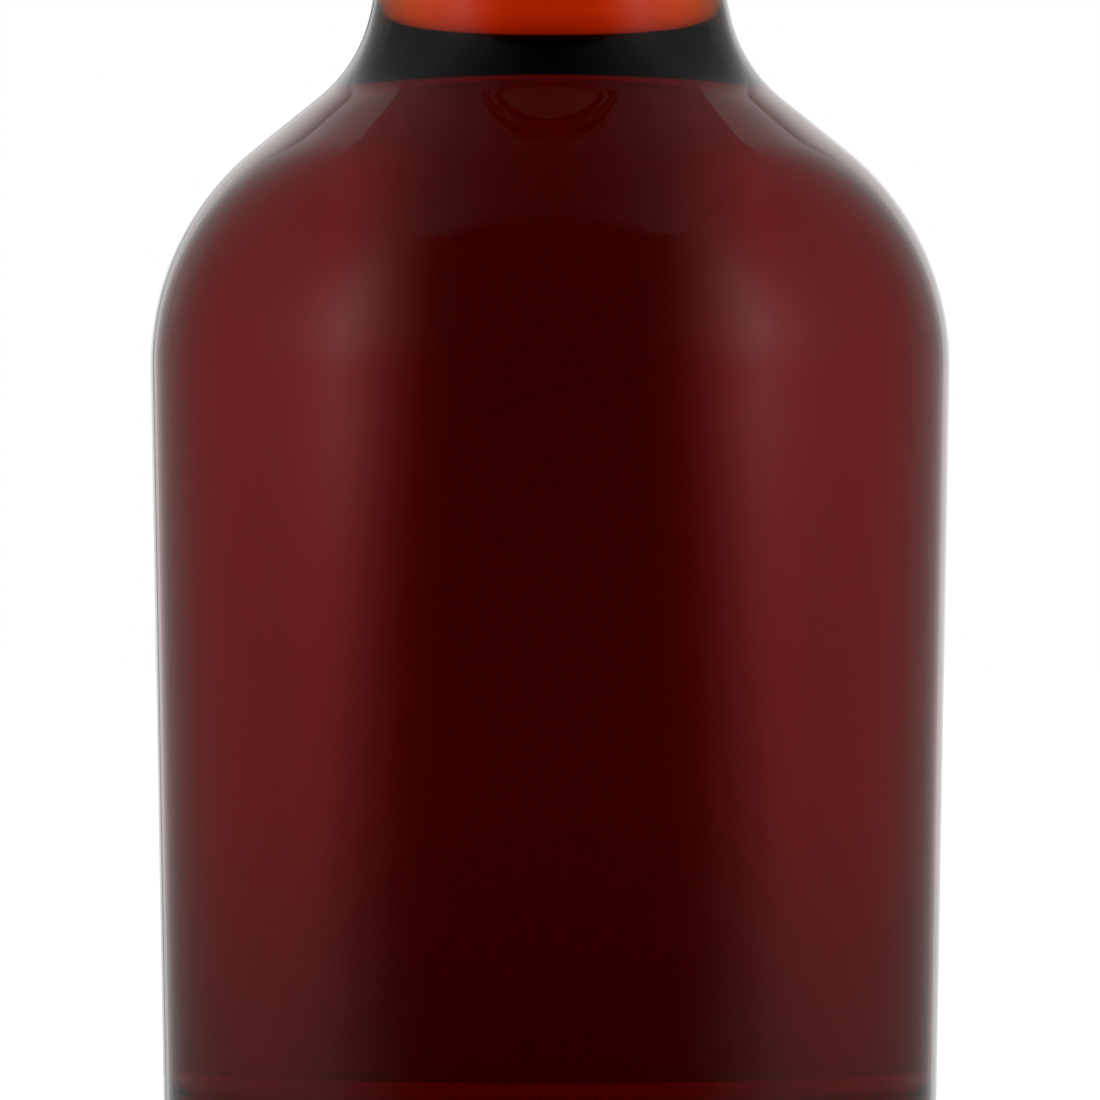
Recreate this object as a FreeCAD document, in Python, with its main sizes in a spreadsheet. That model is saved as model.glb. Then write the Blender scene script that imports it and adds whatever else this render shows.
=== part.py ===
import FreeCAD, Part
import math
import os
import re

import Sketcher

# A squat 75 cl spirits bottle of clear glass, filled with dark rum and closed
# with a bar-top stopper: a cork shank glued into a turned wooden head.
# Millimetres and degrees. +Z is up, and the origin is the centre of the foot
# that the bottle stands on.

SIZES = [
    # the glass, outside
    ("body_diameter", 98.0, "widest, just under the shoulder"),
    ("widest_height", 100.8, "height of the widest point"),
    ("body_taper", 1.0, "degrees by which the side narrows towards the foot"),
    ("heel_radius", 6.0, "round corner between the side and the foot"),
    ("foot_width", 3.2, "flat ring that touches the table"),
    ("foot_round", 2.0, "inner edge of that ring"),
    ("punt_height", 4.4, "rise of the hollow under the base"),
    ("shoulder_radius", 33.7, ""),
    ("shoulder_slope", 51.2, "degrees from upright between shoulder and neck"),
    ("slope_length", 10.1, "straight stretch between the two curves"),
    ("flare_radius", 18.3, "hollow curve at the foot of the neck"),
    ("sweep_radius", 75.0, "slow curve that carries the flare into the neck"),
    ("neck_taper", 1.0, "degrees"),
    ("neck_top_diameter", 39.5, "just under the lip ring"),
    ("ring_height", 182.0, "underside of the lip ring"),
    ("ring_diameter", 45.0, ""),
    ("ring_fillet", 0.8, "between the neck and the underside of the ring"),
    ("ring_low_round", 1.2, "lower edge of the ring"),
    ("lip_round", 2.4, "upper edge of the ring"),
    ("bottle_height", 193.0, "lip face, which the stopper sits on"),
    # the glass, inside
    ("wall", 3.9, "glass in the side, shoulder and flare"),
    ("base_thickness", 5.4, "glass at the middle of the base"),
    ("floor_radius", 210.0, "the inner floor is domed like the punt"),
    ("floor_corner", 8.0, "inside, where the floor meets the side"),
    ("neck_cone", 12.0, "degrees by which the inside narrows up to the bore"),
    ("bore_diameter", 24.0, "what the cork is cut for"),
    ("bore_ease", 30.0, "radius between the cone and the bore"),
    ("mouth_round", 1.5, "inner edge of the lip"),
    # knurling on the foot, which keeps the hot glass off the conveyor
    ("knurl_count", 72.0, ""),
    ("knurl_radius", 1.2, "of each shallow groove across the foot"),
    ("knurl_depth", 0.3, ""),
    # the rum
    ("fill_height", 156.0, "level of 75 cl, in the neck"),
    # the stopper
    ("cork_length", 21.0, "shank below the lip"),
    ("cork_chamfer", 1.2, "at its lower end"),
    ("cork_socket", 8.0, "length of shank glued into the head"),
    ("head_diameter", 39.0, ""),
    ("head_height", 19.0, ""),
    ("head_low_round", 1.0, ""),
    ("head_top_round", 2.5, ""),
    ("head_crown", 0.8, "rise of the domed top"),
    ("bead_height", 5.2, "middle of the turned groove, above the lip"),
    ("bead_radius", 1.1, "of that groove"),
]

QUARTER_TURN = 90.0
HALF_TURN = 180.0
FULL_TURN = 360.0
ORIGIN = (-1, 1)
ACROSS_AXIS = -1
UPRIGHT_AXIS = -2
CENTRE = 3
PUNT_REACH = "body_diameter / 2 - heel_radius - foot_width - foot_round"

document = FreeCAD.newDocument("rum_bottle")


def size_sheet():
    """The driving dimensions, one cell each."""
    cells = document.addObject("Spreadsheet::Sheet", "sizes")
    for row, (alias, amount, note) in enumerate(SIZES, start=1):
        cells.set(f"A{row}", alias)
        cells.set(f"B{row}", str(amount))
        cells.setAlias(f"B{row}", alias)
        cells.set(f"C{row}", note)
    document.recompute()
    return cells


sheet = size_sheet()


def bound(formula):
    """The formula as an object outside the sheet writes it."""
    return re.sub(r"\b([a-z]+(_[a-z]+)*)\b", r"sizes.\1", formula)


def value(formula):
    """What the formula comes to, as a plain number."""
    found = sheet.evalExpression(formula)
    return float(getattr(found, "Value", found))


def new_body(label):
    body = document.addObject("PartDesign::Body", label)
    body.Label = label
    return body


def datum(body, role):
    """One of the body's own planes or axes."""
    return next(d for d in body.Origin.OriginFeatures if d.Role == role)


def new_sketch(body, name, role="XZ_Plane"):
    """A sketch on one of the body's own planes. On XZ its Y runs up the bottle."""
    sketch = body.newObject("Sketcher::SketchObject", name)
    sketch.AttachmentSupport = [(datum(body, role), "")]
    sketch.MapMode = "FlatFace"
    document.recompute()
    return sketch


def fix(sketch, name, kind, where, formula):
    """A named dimension that follows the sheet."""
    amount = value(formula)
    if kind == "Angle":
        amount = math.radians(amount)
    index = sketch.addConstraint(Sketcher.Constraint(kind, *where, amount))
    sketch.renameConstraint(index, name)
    sketch.setExpression(f"Constraints.{name}", bound(formula))


def circle(sketch, name, diameter, up="0"):
    """A circle on the sketch's upright axis."""
    middle = FreeCAD.Vector(0, value(up), 0)
    round_edge = Part.Circle(middle, FreeCAD.Vector(0, 0, 1), value(diameter) / 2)
    edge = sketch.addGeometry(round_edge)
    sketch.addConstraint(Sketcher.Constraint("PointOnObject", edge, CENTRE, UPRIGHT_AXIS))
    fix(sketch, f"{name}_diameter", "Diameter", (edge,), diameter)
    if value(up) == 0:
        sketch.addConstraint(Sketcher.Constraint("PointOnObject", edge, CENTRE, ACROSS_AXIS))
    else:
        fix(sketch, f"{name}_height", "DistanceY", (*ORIGIN, edge, CENTRE), up)


class HalfSection:
    """Draws one closed half-section, edge after edge from its lowest point on
    the axis, each tangent to the last unless said otherwise. A heading is in
    degrees from the sketch's X, so 90 is straight up. What a constraint leaves
    open, such as where an arc ends, comes from the next edge."""

    def __init__(self, sketch, start="0"):
        self.sketch = sketch
        self.start = start
        self.x = 0.0
        self.y = value(start)
        self.heading = 0.0
        self.first = None
        self.last = None

    def rule(self, kind, *where):
        self.sketch.addConstraint(Sketcher.Constraint(kind, *where))

    def add(self, shape, begins, ends, smooth):
        """Joins a new edge to the one before, or stands the first on the axis."""
        edge = self.sketch.addGeometry(shape)
        if self.last is None:
            self.first = (edge, begins)
            self.rule("PointOnObject", edge, begins, UPRIGHT_AXIS)
            if value(self.start) == 0:
                self.rule("PointOnObject", edge, begins, ACROSS_AXIS)
            else:
                fix(self.sketch, "start_height", "DistanceY", (*ORIGIN, edge, begins), self.start)
        else:
            self.rule("Tangent" if smooth else "Coincident", *self.last, edge, begins)
        self.last = (edge, ends)
        return edge

    def line(self, length, heading=None):
        """A straight edge. A new heading makes a corner. The length is a first
        guess, which the rules that follow put right."""
        if length <= 0:
            raise ValueError("the section doubles back on itself")
        smooth = heading is None
        if not smooth:
            self.heading = heading
        turn = math.radians(self.heading)
        start = FreeCAD.Vector(self.x, self.y, 0)
        self.x += length * math.cos(turn)
        self.y += length * math.sin(turn)
        end = FreeCAD.Vector(self.x, self.y, 0)
        return self.add(Part.LineSegment(start, end), 1, 2, smooth)

    def arc(self, name, radius, heading, follows_sheet=True):
        """A round edge that ends at a heading. A rising heading turns left."""
        size = value(radius)
        left = heading > self.heading
        inward = QUARTER_TURN if left else -QUARTER_TURN
        side = math.radians(self.heading + inward)
        begin = math.radians(self.heading - inward)
        finish = math.radians(heading - inward)
        middle = FreeCAD.Vector(self.x + size * math.cos(side), self.y + size * math.sin(side), 0)
        self.x = middle.x + size * math.cos(finish)
        self.y = middle.y + size * math.sin(finish)
        self.heading = heading
        whole = Part.Circle(middle, FreeCAD.Vector(0, 0, 1), size)
        span = (begin, finish) if left else (finish, begin)
        ends = (1, 2) if left else (2, 1)
        edge = self.add(Part.ArcOfCircle(whole, *span), *ends, True)
        if follows_sheet:
            fix(self.sketch, f"{name}_radius", "Radius", (edge,), radius)
        return edge

    def lean(self, name, edge, formula):
        fix(self.sketch, f"{name}_angle", "Angle", (edge,), formula)

    def end_at(self, name, across=None, up=None):
        """Says where the last edge ends."""
        if across:
            fix(self.sketch, f"{name}_across", "DistanceX", (*ORIGIN, *self.last), across)
        if up:
            fix(self.sketch, f"{name}_up", "DistanceY", (*ORIGIN, *self.last), up)

    def crown_on_axis(self, edge):
        """Centres a dome's arc on the axis."""
        self.rule("PointOnObject", edge, CENTRE, UPRIGHT_AXIS)

    def level_to_axis(self, smooth=False):
        """A level edge in to the axis."""
        level = self.line(self.x, None if smooth else HALF_TURN)
        self.rule("Horizontal", level)
        self.rule("PointOnObject", level, 2, UPRIGHT_AXIS)

    def close(self):
        """Back down the axis to the start."""
        axis = self.line(self.y - value(self.start), -QUARTER_TURN)
        self.rule("Coincident", axis, 2, *self.first)


def turned(body, sketch, kind, name):
    """The sketch turned about the bottle's axis, as a Revolution or a Groove."""
    document.recompute()
    feature = body.newObject(f"PartDesign::{kind}", name)
    feature.Profile = sketch
    feature.ReferenceAxis = (sketch, ["V_Axis"])
    feature.Angle = FULL_TURN
    document.recompute()
    return feature


def round_edges(shape, radius, height):
    """Names of the shape's level, full-circle edges of that radius and height."""
    near = 0.01
    around = 2 * math.pi * radius
    names = []
    for number, edge in enumerate(shape.Edges, start=1):
        box = edge.BoundBox
        level = box.ZMax - box.ZMin < near and abs(box.ZMax - height) < near
        if level and abs(edge.Length - around) < near:
            names.append(f"Edge{number}")
    return names


def outside(sketch):
    """The bottle's outside, from the punt under the base up to the lip."""
    outline = HalfSection(sketch, "punt_height")
    punt_radius = f"(({PUNT_REACH}) ^ 2 / punt_height + punt_height) / 2"
    fall = math.degrees(math.asin(value(PUNT_REACH) / value(punt_radius)))
    punt = outline.arc("punt", punt_radius, -fall, follows_sheet=False)
    outline.crown_on_axis(punt)
    outline.arc("foot_round", "foot_round", 0.0)
    foot = outline.line(value("foot_width"))
    outline.rule("PointOnObject", foot, 1, ACROSS_AXIS)
    outline.rule("Horizontal", foot)
    fix(sketch, "foot_width", "Distance", (foot,), "foot_width")
    outline.arc("heel", "heel_radius", value("90 - body_taper"))
    side = outline.line(value("widest_height - heel_radius"))
    outline.lean("side", side, "90 - body_taper")
    outline.end_at("widest", "body_diameter / 2", "widest_height")
    outline.arc("shoulder", "shoulder_radius", value("90 + shoulder_slope"))
    slope = outline.line(value("slope_length"))
    outline.lean("slope", slope, "90 + shoulder_slope")
    fix(sketch, "slope_length", "Distance", (slope,), "slope_length")
    outline.arc("flare", "flare_radius", value("90 + neck_cone"))
    outline.arc("sweep", "sweep_radius", value("90 + neck_taper"))
    neck = outline.line(value("ring_height - ring_fillet") - outline.y)
    outline.lean("neck", neck, "90 + neck_taper")
    outline.end_at("neck_top", across="neck_top_diameter / 2")
    outline.arc("ring_fillet", "ring_fillet", 0.0)
    underside = outline.line(value("ring_diameter / 2 - ring_low_round") - outline.x)
    outline.rule("Horizontal", underside)
    outline.end_at("ring_underside", up="ring_height")
    outline.arc("ring_low_round", "ring_low_round", QUARTER_TURN)
    ring = outline.line(value("bottle_height - lip_round") - outline.y)
    outline.rule("Vertical", ring)
    outline.end_at("ring", "ring_diameter / 2", "bottle_height - lip_round")
    outline.arc("lip_round", "lip_round", HALF_TURN)
    outline.level_to_axis(smooth=True)
    outline.close()


def inside_to_cone(sketch):
    """The inside of the glass, from the middle of the floor up to the cone under
    the bore. The rum shares it, so that it touches the glass all over."""
    outline = HalfSection(sketch, "punt_height + base_thickness")
    reach = value("body_diameter / 2 - wall - floor_corner")
    fall = math.degrees(math.asin(reach / value("floor_radius + floor_corner")))
    floor = outline.arc("floor", "floor_radius", -fall)
    outline.crown_on_axis(floor)
    outline.arc("floor_corner", "floor_corner", value("90 - body_taper"))
    side = outline.line(value("widest_height") - outline.y)
    outline.lean("side", side, "90 - body_taper")
    outline.end_at("widest", "body_diameter / 2 - wall", "widest_height")
    outline.arc("shoulder", "shoulder_radius - wall", value("90 + shoulder_slope"))
    slope = outline.line(value("slope_length"))
    outline.lean("slope", slope, "90 + shoulder_slope")
    fix(sketch, "slope_length", "Distance", (slope,), "slope_length")
    outline.arc("flare", "flare_radius + wall", value("90 + neck_cone"))
    return outline


def cavity(sketch):
    """All of the inside, up through the bore and out past the lip."""
    outline = inside_to_cone(sketch)
    lean = math.radians(value("neck_cone"))
    eased = value("bore_ease") * (1 - math.cos(lean))
    narrowing = outline.x - value("bore_diameter / 2") - eased
    cone = outline.line(narrowing / math.sin(lean))
    outline.lean("cone", cone, "90 + neck_cone")
    outline.arc("bore_ease", "bore_ease", QUARTER_TURN)
    bore = outline.line(value("bottle_height + mouth_round") - outline.y)
    outline.rule("Vertical", bore)
    outline.end_at("bore", "bore_diameter / 2", "bottle_height + mouth_round")
    outline.level_to_axis()
    outline.close()


def contents(sketch):
    """The inside, up to the level of the rum."""
    outline = inside_to_cone(sketch)
    lean = math.radians(value("neck_cone"))
    cone = outline.line((value("fill_height") - outline.y) / math.cos(lean))
    outline.lean("cone", cone, "90 + neck_cone")
    outline.end_at("level", up="fill_height")
    outline.level_to_axis()
    outline.close()


def lid_outline(sketch):
    """The wooden head, from its underside to its domed top."""
    outline = HalfSection(sketch)
    underside = outline.line(value("head_diameter / 2 - head_low_round"))
    outline.rule("Horizontal", underside)
    outline.arc("low_round", "head_low_round", QUARTER_TURN)
    face = outline.line(value("head_height - head_crown - head_top_round") - outline.y)
    outline.rule("Vertical", face)
    outline.end_at("face", "head_diameter / 2", "head_height - head_crown - head_top_round")
    flat = "head_diameter / 2 - head_top_round"
    crown_radius = f"(({flat}) ^ 2 / head_crown + head_crown) / 2"
    fall = math.degrees(math.asin(value(flat) / value(crown_radius)))
    outline.arc("top_round", "head_top_round", HALF_TURN - fall)
    crown = outline.arc("crown", crown_radius, HALF_TURN, follows_sheet=False)
    outline.crown_on_axis(crown)
    outline.rule("PointOnObject", *outline.last, UPRIGHT_AXIS)
    outline.end_at("crown", up="head_height")
    outline.close()


def knurl_foot(body):
    """Shallow grooves across the foot, all the way round."""
    sketch = new_sketch(body, "knurl_section", "YZ_Plane")
    sketch.setExpression("AttachmentOffset.Base.z", bound(PUNT_REACH))
    circle(sketch, "knurl", "2 * knurl_radius", "knurl_depth - knurl_radius")
    document.recompute()
    before = body.Shape.Volume
    groove = body.newObject("PartDesign::Pocket", "knurl")
    groove.Profile = sketch
    groove.Reversed = True
    groove.setExpression("Length", bound("foot_round + foot_width + heel_radius"))
    document.recompute()
    if not groove.Shape.Volume < before:
        raise ValueError("the first knurl cuts nothing")
    pattern = body.newObject("PartDesign::PolarPattern", "knurls")
    pattern.Originals = [groove]
    pattern.Axis = (datum(body, "Z_Axis"), [""])
    pattern.Angle = FULL_TURN
    pattern.setExpression("Occurrences", bound("knurl_count"))
    body.Tip = pattern
    document.recompute()


def make_bottle():
    body = new_body("bottle")
    outer = new_sketch(body, "outside")
    outside(outer)
    turned(body, outer, "Revolution", "blown_glass")
    inner = new_sketch(body, "cavity")
    cavity(inner)
    hollow = turned(body, inner, "Groove", "hollow")
    mouth = body.newObject("PartDesign::Fillet", "mouth")
    rim = round_edges(hollow.Shape, value("bore_diameter / 2"), value("bottle_height"))
    mouth.Base = (hollow, rim)
    mouth.setExpression("Radius", bound("mouth_round"))
    document.recompute()
    knurl_foot(body)
    return body


def make_rum():
    body = new_body("rum")
    sketch = new_sketch(body, "contents")
    contents(sketch)
    turned(body, sketch, "Revolution", "liquid")
    return body


def make_stopper_head():
    """Turned from one piece of wood, with a socket bored for the cork."""
    body = new_body("stopper_head")
    outline = new_sketch(body, "head_outline")
    lid_outline(outline)
    turned(body, outline, "Revolution", "turned_head")
    bead = new_sketch(body, "bead_section")
    middle = FreeCAD.Vector(value("head_diameter / 2"), value("bead_height"), 0)
    edge = bead.addGeometry(Part.Circle(middle, FreeCAD.Vector(0, 0, 1), value("bead_radius")))
    fix(bead, "bead_radius", "Radius", (edge,), "bead_radius")
    fix(bead, "bead_across", "DistanceX", (*ORIGIN, edge, CENTRE), "head_diameter / 2")
    fix(bead, "bead_up", "DistanceY", (*ORIGIN, edge, CENTRE), "bead_height")
    turned(body, bead, "Groove", "bead")
    bored = new_sketch(body, "socket_section", "XY_Plane")
    circle(bored, "socket", "bore_diameter")
    document.recompute()
    socket = body.newObject("PartDesign::Pocket", "socket")
    socket.Profile = bored
    socket.Reversed = True
    socket.setExpression("Length", bound("cork_socket"))
    document.recompute()
    body.setExpression("Placement.Base.z", bound("bottle_height"))
    return body


def make_stopper_cork():
    body = new_body("stopper_cork")
    section = new_sketch(body, "cork_section", "XY_Plane")
    circle(section, "cork", "bore_diameter")
    document.recompute()
    shank = body.newObject("PartDesign::Pad", "shank")
    shank.Profile = section
    shank.setExpression("Length", bound("cork_length + cork_socket"))
    document.recompute()
    chamfer = body.newObject("PartDesign::Chamfer", "chamfer")
    chamfer.Base = (shank, round_edges(shank.Shape, value("bore_diameter / 2"), 0.0))
    chamfer.setExpression("Size", bound("cork_chamfer"))
    body.setExpression("Placement.Base.z", bound("bottle_height - cork_length"))
    return body


def check(bodies):
    """Stops on a failed feature, an open sketch or a shape that isn't sound."""
    for thing in document.Objects:
        if {"Invalid", "Error"} & set(thing.State):
            raise ValueError(f"{thing.Name} failed")
        if thing.TypeId == "Sketcher::SketchObject" and not thing.FullyConstrained:
            raise ValueError(f"{thing.Name} isn't fully constrained")
    for body in bodies:
        shape = body.Shape
        if shape.isNull() or not shape.isValid() or len(shape.Solids) != 1:
            raise ValueError(f"{body.Label} isn't one sound solid")


def main():
    bodies = [make_bottle(), make_rum(), make_stopper_head(), make_stopper_cork()]
    document.recompute()
    check(bodies)
    os.makedirs("parts", exist_ok=True)
    for body in bodies:
        body.Shape.exportStep(f"parts/{body.Label}.step")
        millilitres = body.Shape.Volume / 1000
        print(f"{body.Label}: {millilitres:.1f} ml")


main()
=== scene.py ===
import math
import random

import bmesh
import bpy
from bpy.props import FloatProperty, FloatVectorProperty, IntProperty, PointerProperty
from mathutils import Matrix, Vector


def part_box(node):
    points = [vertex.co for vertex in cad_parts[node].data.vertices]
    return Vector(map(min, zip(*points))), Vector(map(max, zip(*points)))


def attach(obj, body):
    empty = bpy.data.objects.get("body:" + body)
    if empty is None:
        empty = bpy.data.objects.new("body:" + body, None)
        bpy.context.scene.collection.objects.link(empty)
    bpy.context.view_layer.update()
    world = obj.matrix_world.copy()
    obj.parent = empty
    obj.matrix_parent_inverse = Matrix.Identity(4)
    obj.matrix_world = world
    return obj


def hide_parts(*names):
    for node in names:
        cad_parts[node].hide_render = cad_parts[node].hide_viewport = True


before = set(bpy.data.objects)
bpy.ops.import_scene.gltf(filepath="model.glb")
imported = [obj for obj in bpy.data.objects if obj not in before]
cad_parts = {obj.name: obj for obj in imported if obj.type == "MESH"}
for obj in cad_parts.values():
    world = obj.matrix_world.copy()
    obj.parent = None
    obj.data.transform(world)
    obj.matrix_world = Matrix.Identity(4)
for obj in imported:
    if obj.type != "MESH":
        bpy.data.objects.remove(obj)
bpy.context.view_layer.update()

bl_info = {
    "name": "Rum bottle",
    "version": (1, 0, 0),
    "blender": (4, 5, 0),
    "location": "View3D > Sidebar > Rum bottle",
    "description": "Makes a squat bottle of dark rum with a bar-top stopper, on a pale stage",
    "category": "Object",
}

MM = 0.001
TURN = 2 * math.pi
UPWARDS = math.pi / 2


# ---------------------------------------------------------------- settings


def length(name, millimetres, description):
    return FloatProperty(
        name=name, description=description, default=millimetres * MM, min=0.0,
        precision=5, unit="LENGTH", subtype="DISTANCE",
    )


def slope(name, degrees, description):
    return FloatProperty(
        name=name, description=description, default=math.radians(degrees),
        unit="ROTATION", subtype="ANGLE",
    )


def linear(code):
    """The linear colour of an sRGB hex code."""
    parts = [int(code[i:i + 2], 16) / 255 for i in (1, 3, 5)]
    return [p / 12.92 if p <= 0.04045 else ((p + 0.055) / 1.055) ** 2.4 for p in parts]


def colour(name, code, description):
    return FloatVectorProperty(
        name=name, description=description, default=linear(code), min=0.0, max=1.0,
        size=3, subtype="COLOR",
    )


class BottleGlassSizes(bpy.types.PropertyGroup):
    body_diameter: length("Body diameter", 98.0, "Widest, just under the shoulder")
    widest_height: length("Widest height", 100.8, "Height of the widest point")
    body_taper: slope("Body taper", 1.0, "How far the side narrows towards the foot")
    heel_radius: length("Heel radius", 6.0, "Round corner between the side and the foot")
    foot_width: length("Foot width", 3.2, "Flat ring that touches the table")
    foot_round: length("Foot round", 2.0, "Inner edge of that ring")
    punt_height: length("Punt height", 4.4, "Rise of the hollow under the base")
    shoulder_radius: length("Shoulder radius", 33.7, "Round of the shoulder")
    shoulder_slope: slope("Shoulder slope", 51.2, "Lean between the shoulder and the neck")
    slope_length: length("Slope length", 10.1, "Straight stretch of the shoulder")
    flare_radius: length("Flare radius", 18.3, "Hollow curve at the foot of the neck")
    sweep_radius: length("Sweep radius", 75.0, "Slow curve from the flare into the neck")
    neck_taper: slope("Neck taper", 1.0, "How far the neck narrows towards the lip")
    neck_top_diameter: length("Neck top diameter", 39.5, "Just under the lip ring")
    ring_height: length("Ring height", 182.0, "Underside of the lip ring")
    ring_diameter: length("Ring diameter", 45.0, "Lip ring")
    ring_fillet: length("Ring fillet", 0.8, "Between the neck and the ring")
    ring_low_round: length("Ring low round", 1.2, "Lower edge of the ring")
    lip_round: length("Lip round", 2.4, "Upper edge of the ring")
    bottle_height: length("Bottle height", 193.0, "Up to the lip that the stopper sits on")
    wall: length("Wall", 3.9, "Glass in the side, shoulder and flare")
    base_thickness: length("Base thickness", 5.4, "Glass at the middle of the base")
    floor_radius: length("Floor radius", 210.0, "Dome of the inner floor")
    floor_corner: length("Floor corner", 8.0, "Inside, where the floor meets the side")
    neck_cone: slope("Neck cone", 12.0, "How far the inside narrows up to the bore")
    bore_diameter: length("Bore diameter", 24.0, "What the cork is cut for")
    bore_ease: length("Bore ease", 30.0, "Round between the cone and the bore")
    mouth_round: length("Mouth round", 1.5, "Inner edge of the lip")
    knurl_count: IntProperty(
        name="Knurls", description="Shallow grooves round the foot", default=72, min=1
    )
    knurl_radius: length("Knurl radius", 1.2, "Round of each groove")
    knurl_depth: length("Knurl depth", 0.3, "Depth of each groove")
    seam_height: length("Seam height", 0.07, "How far the mould seams stand out")
    wall_wave: length("Wall wave", 0.05, "Unevenness of the blown inside")


class BottleFillSizes(bpy.types.PropertyGroup):
    fill_height: length("Fill height", 156.0, "Where the rum meets the glass, in the neck")
    meniscus_rise: length("Meniscus rise", 1.4, "How far the rum climbs the glass")
    meniscus_width: length("Meniscus width", 1.5, "How fast that climb dies away")
    wall_overlap: length("Wall overlap", 0.15, "How far the rum reaches into the glass")
    cork_length: length("Cork length", 21.0, "Shank below the lip")
    cork_chamfer: length("Cork chamfer", 1.2, "At the lower end of the shank")
    cork_socket: length("Cork socket", 8.0, "Shank glued into the head")
    pit_width: length("Pit width", 1.1, "Widest pit in the cork")
    pit_depth: length("Pit depth", 0.35, "Deepest pit in the cork")


class BottleColours(bpy.types.PropertyGroup):
    rum: colour("Rum", "#e69c59", "10 mm of the rum against white")
    beech_light: colour("Beech, light", "#5a3a24", "Stained wood between the pores")
    beech_dark: colour("Beech, dark", "#2a170d", "Stain gathered in the pores")
    cork_light: colour("Cork, light", "#e6c8a0", "Sanded cork")
    cork_dark: colour("Cork, dark", "#8d6541", "Pores and bark in the cork")
    floor: colour("Floor", "#f0f0f0", "Matt table top")


class BottleStage(bpy.types.PropertyGroup):
    view_height: length("View height", 78.65, "Height of the lens above the table")
    view_width: length("View width", 135.0, "Width of what the lens takes in, at the bottle")
    view_distance: length("View distance", 1400.0, "From the lens to the middle of the bottle")
    panel_distance: length("Panel distance", 700.0, "From the soft panels to the bottle")
    panel_top: length("Panel top", 900.0, "Upper edge of the panels, above the table")
    panel_drop: length("Panel drop", 400.0, "Lower edge of the panels, below the table")
    dark_distance: length("Dark card distance", 200.0, "From the dark card to the bottle")
    dark_reach: length("Dark card reach", 240.0, "Half of the dark card's width")
    dark_top: length("Dark card top", 125.0, "Upper edge of the dark card")
    dark_drop: length("Dark card drop", 10.0, "Lower edge, below the table")
    white_distance: length("White card distance", 60.0, "From the white card to the neck")
    white_reach: length("White card reach", 80.0, "Half of the white card's width")
    white_top: length("White card top", 170.0, "Upper edge of the white card")
    white_foot: length("White card foot", 107.0, "Lower edge, above the table")
    lamp_size: length("Lamp size", 700.0, "Width of the round lamp overhead")
    lamp_power: FloatProperty(
        name="Lamp power", description="Of the round lamp overhead", default=6.0, min=0.0,
        unit="POWER",
    )


def settings():
    scene = bpy.context.scene
    return scene.bottle_glass, scene.bottle_fill, scene.bottle_colours, scene.bottle_stage


def opaque(tint):
    """A colour as the four numbers that a socket takes."""
    return [*tint, 1.0]


# ---------------------------------------------------------------- sections


class Pen:
    """Draws half of an upright section, each stretch tangent to the last. A heading
    is the way it runs: 0 is outwards, a quarter turn is up."""

    ARC_STEP = math.radians(3.0)
    CORNER_STEP = math.radians(6.0)
    CORNER = 10 * MM  # an arc up to this radius is a corner, and takes the longer step
    ARC_STEPS = 4  # the fewest that an arc has
    LINE_STEP = 8 * MM
    END_STEP = 1.2 * MM

    def __init__(self, across, up, heading=0.0):
        self.across, self.up, self.heading = across, up, heading
        self.points = [(across, up, heading)]

    def note(self):
        self.points.append((self.across, self.up, self.heading))

    def line(self, distance):
        """Short steps at both ends keep the shading even where a curve begins."""
        if distance <= 0:
            raise ValueError(f"a stretch of the outline has a length of {distance}")
        ends = min(self.END_STEP, distance / 3)
        middle = max(1, round((distance - 2 * ends) / self.LINE_STEP))
        for step in [ends] + [(distance - 2 * ends) / middle] * middle + [ends]:
            self.across += step * math.cos(self.heading)
            self.up += step * math.sin(self.heading)
            self.note()

    def arc(self, radius, heading):
        swing = heading - self.heading
        swing_step = self.ARC_STEP if radius > self.CORNER else self.CORNER_STEP
        steps = max(self.ARC_STEPS, math.ceil(abs(swing) / swing_step))
        side = self.heading + math.copysign(math.pi / 2, swing)
        middle = (self.across + radius * math.cos(side), self.up + radius * math.sin(side))
        start = self.heading
        for step in range(1, steps + 1):
            self.heading = start + swing * step / steps
            side = self.heading - math.copysign(math.pi / 2, swing)
            self.across = middle[0] + radius * math.cos(side)
            self.up = middle[1] + radius * math.sin(side)
            self.note()


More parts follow.
